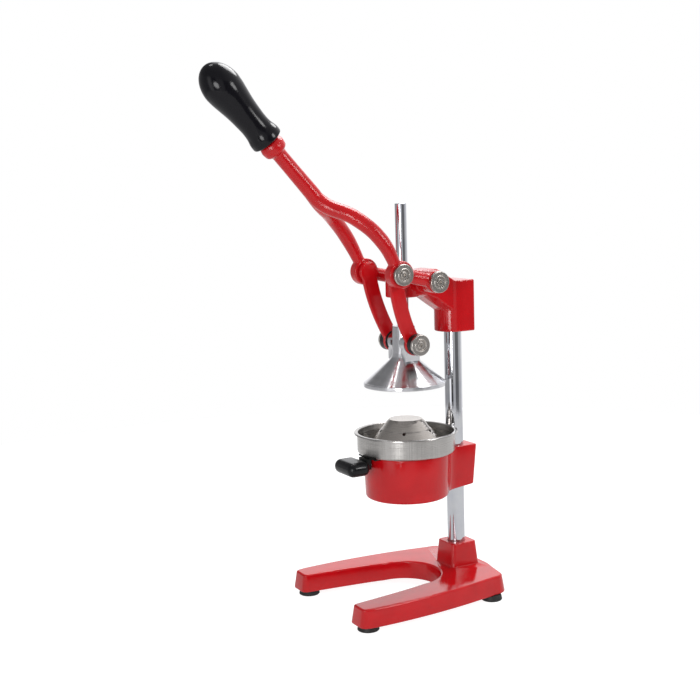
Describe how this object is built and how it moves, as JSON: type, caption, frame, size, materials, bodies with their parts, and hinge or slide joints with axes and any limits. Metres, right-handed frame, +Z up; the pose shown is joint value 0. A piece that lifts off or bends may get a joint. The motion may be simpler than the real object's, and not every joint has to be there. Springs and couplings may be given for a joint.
{
  "type": "citrus press juicer",
  "caption": "Hand lever press that slides a cone down over a reamer in a strainer cup, above a funnel and an open horseshoe base.",
  "frame": {"origin": "on the floor plane, at the centre of the overall box seen from above", "axes": "+Z up, -Y towards the open end of the base and the raised handle, +X to the right seen from the front"},
  "size_m": [0.1864, 0.3543, 0.6431],
  "materials": {
    "base_enamel": "gloss red enamel",
    "head_enamel": "gloss red enamel",
    "lever_enamel": "gloss red enamel, slightly pebbled",
    "link_enamel": "gloss red enamel, slightly pebbled",
    "holder_enamel": "gloss red enamel",
    "column_chrome": "polished chrome",
    "rod_chrome": "polished chrome",
    "cone_metal": "polished, fine turned lines",
    "cup_steel": "brushed stainless steel",
    "reamer_steel": "brushed stainless steel",
    "funnel_steel": "brushed stainless steel",
    "bolt_nickel": "nickel plated, turned face",
    "small_steel": "zinc plated",
    "grip_plastic": "gloss black",
    "knob_plastic": "satin black",
    "nylon": "matt black nylon",
    "foot_rubber": "matt black",
    "bush_bronze": "sintered bronze, machined"
  },
  "bodies": {
    "frame": {"base_casting": "base_enamel", "foot_front_left": "foot_rubber", "foot_front_right": "foot_rubber", "foot_rear_left": "foot_rubber", "foot_rear_right": "foot_rubber", "foot_screw_front_left": "small_steel", "foot_screw_front_right": "small_steel", "foot_screw_rear_left": "small_steel", "foot_screw_rear_right": "small_steel", "column": "column_chrome", "column_bolt_washer": "small_steel", "column_bolt": "small_steel", "head_casting": "head_enamel", "rod_guide_bush": "bush_bronze", "head_set_screw": "small_steel", "fulcrum_bolt_left": "bolt_nickel", "fulcrum_bolt_right": "bolt_nickel", "cup_holder": "holder_enamel", "holder_set_screw": "small_steel"},
    "lever": {"lever_casting": "lever_enamel", "grip": "grip_plastic", "grip_pin": "small_steel"},
    "links": {"link_left": "link_enamel", "link_right": "link_enamel", "link_bolt_left": "bolt_nickel", "link_bolt_right": "bolt_nickel", "cone_bolt_left": "bolt_nickel", "cone_bolt_right": "bolt_nickel", "cone_bush_left": "nylon", "cone_bush_right": "nylon"},
    "press": {"press_rod": "rod_chrome", "press_cone": "cone_metal", "lug_washer_left": "nylon", "lug_washer_right": "nylon"},
    "strainer": {"strainer_cup": "cup_steel", "reamer": "reamer_steel", "cup_handle": "knob_plastic", "handle_bracket": "nylon", "handle_rivet_left": "small_steel", "handle_rivet_right": "small_steel"},
    "funnel": {"juice_funnel": "funnel_steel"}
  },
  "joints": [
    {"name": "lever_fulcrum", "type": "hinge", "parent": "frame", "child": "lever", "pos_m": [0, 0.0914, 0.3913], "axis": [1, 0, 0], "range_deg": [0, 60]},
    {"name": "link_pivot", "type": "hinge", "parent": "lever", "child": "links", "pos_m": [0, 0.0423, 0.4026], "axis": [1, 0, 0], "range_deg": [-69.7, 0]},
    {"name": "press_slide", "type": "slide", "parent": "frame", "child": "press", "axis": [0, 0, -1], "range_m": [0, 0.0519]},
    {"name": "strainer_lift", "type": "slide", "parent": "frame", "child": "strainer", "axis": [0, 0, 1], "range_m": [0, 0.01]},
    {"name": "funnel_lift", "type": "slide", "parent": "frame", "child": "funnel", "axis": [0, 0, 1], "range_m": [0, 0.015]}
  ],
  "couplings": [
    {"joint": "link_pivot", "follows": "lever_fulcrum", "ratio": -1.1608},
    {"joint": "press_slide", "follows": "lever_fulcrum", "m_per_rad": 0.04947}
  ]
}
